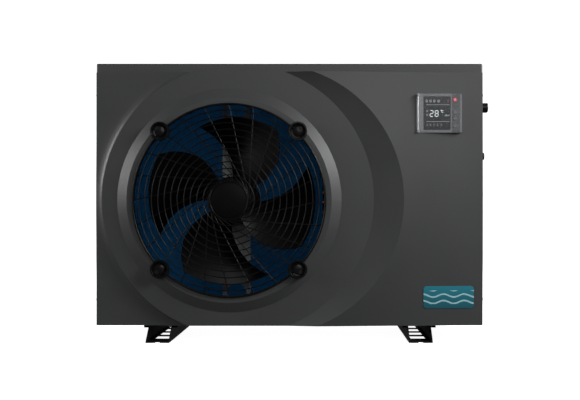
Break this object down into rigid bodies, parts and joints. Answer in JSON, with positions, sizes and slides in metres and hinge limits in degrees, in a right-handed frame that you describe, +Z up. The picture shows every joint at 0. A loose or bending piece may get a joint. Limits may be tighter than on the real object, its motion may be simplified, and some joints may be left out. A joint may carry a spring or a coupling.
{
  "type": "pool heat pump",
  "caption": "Outdoor pool and spa water heater cabinet with a side-blowing guarded fan, keypad controller, rear water unions and steel feet.",
  "frame": {"origin": "on the floor at the centre of the rectangle of four anchor holes in the feet", "axes": "+Z up, the fan and controller face -Y, +X to the right seen from the front"},
  "size_m": [0.9338, 0.4463, 0.648],
  "materials": {
    "charcoal_shell": "fine-grained satin, painted",
    "charcoal_steel": "powder coat, satin",
    "black_steel": "powder coat, semi-gloss",
    "gloss_black": "moulded, glossy",
    "zinc_steel": "zinc plated",
    "bearing_steel": "ground",
    "matte_black": "moulded",
    "motor_alloy": "painted casting",
    "blue_fin": "hydrophilic blue coating",
    "copper": "drawn copper tube",
    "brass": "machined brass",
    "rubber": "moulded rubber",
    "grey_plastic": "moulded ABS",
    "titanium": "drawn titanium tube",
    "board_green": "printed board with parts",
    "bezel_grey": "moulded, satin",
    "display_glass": "display behind a clear window",
    "clear_cover": "clear acrylic",
    "key_red": "lit power key",
    "key_grey": "silicone key",
    "plate_teal": "plain plate, satin"
  },
  "bodies": {
    "cabinet": {"accumulator": "black_steel", "base_pan": "zinc_steel", "cable_glands": "matte_black", "casing_screws": "zinc_steel", "compressor": "black_steel", "control_board": "board_green", "controller_display": "display_glass", "controller_frame": "bezel_grey", "discharge_pipe": "copper", "drain_spout": "matte_black", "electric_box": "black_steel", "evaporator_bends": "copper", "evaporator_plates": "zinc_steel", "evaporator_rear": "blue_fin", "evaporator_side": "blue_fin", "exchanger_cap": "grey_plastic", "exchanger_shell": "grey_plastic", "expansion_valve": "brass", "fan_guard": "black_steel", "fan_orifice": "matte_black", "filter_drier": "copper", "flow_switch": "matte_black", "foot_left": "black_steel", "foot_right": "black_steel", "four_way_valve": "brass", "front_panel": "charcoal_shell", "gas_pipes": "copper", "guard_lugs": "gloss_black", "guard_screws": "zinc_steel", "hinge_pin": "zinc_steel", "left_side_grille": "charcoal_steel", "lid": "charcoal_steel", "liquid_pipes": "copper", "motor_bearings": "bearing_steel", "motor_bolts": "zinc_steel", "motor_housing": "motor_alloy", "motor_mast": "zinc_steel", "mounting_bolts": "zinc_steel", "name_plate": "plate_teal", "partition": "charcoal_steel", "rear_coil_guard": "charcoal_steel", "rear_panel": "charcoal_steel", "right_side_panel": "charcoal_steel", "rubber_mounts": "rubber", "suction_pipe": "copper", "terminal_block": "matte_black", "terminal_cover": "matte_black", "titanium_coil": "titanium", "union_nuts": "matte_black", "water_pipes": "grey_plastic", "water_unions": "grey_plastic"},
    "fan": {"fan_impeller": "gloss_black", "motor_shaft": "bearing_steel", "fan_nut": "zinc_steel", "motor_rotor": "bearing_steel"},
    "controller_cover_flap": {"controller_cover": "clear_cover"},
    "key_power_cap": {"key_power": "key_red"},
    "key_up_cap": {"key_up": "key_grey"},
    "key_down_cap": {"key_down": "key_grey"},
    "key_set_cap": {"key_set": "key_grey"}
  },
  "joints": [
    {"name": "fan_spin", "type": "hinge", "parent": "cabinet", "child": "fan", "pos_m": [-0.139, -0.1, 0.329], "axis": [0, 1, 0], "continuous": true},
    {"name": "cover_hinge", "type": "hinge", "parent": "cabinet", "child": "controller_cover_flap", "pos_m": [0.298, -0.2024, 0.531], "axis": [0, 0, -1], "range_deg": [0, 110]},
    {"name": "key_power_press", "type": "slide", "parent": "cabinet", "child": "key_power_cap", "axis": [0, 1, 0], "range_m": [0, 0.001], "stiffness_N_per_m": 600, "springref_m": -0.0005},
    {"name": "key_up_press", "type": "slide", "parent": "cabinet", "child": "key_up_cap", "axis": [0, 1, 0], "range_m": [0, 0.001], "stiffness_N_per_m": 600, "springref_m": -0.0005},
    {"name": "key_down_press", "type": "slide", "parent": "cabinet", "child": "key_down_cap", "axis": [0, 1, 0], "range_m": [0, 0.001], "stiffness_N_per_m": 600, "springref_m": -0.0005},
    {"name": "key_set_press", "type": "slide", "parent": "cabinet", "child": "key_set_cap", "axis": [0, 1, 0], "range_m": [0, 0.001], "stiffness_N_per_m": 600, "springref_m": -0.0005}
  ]
}
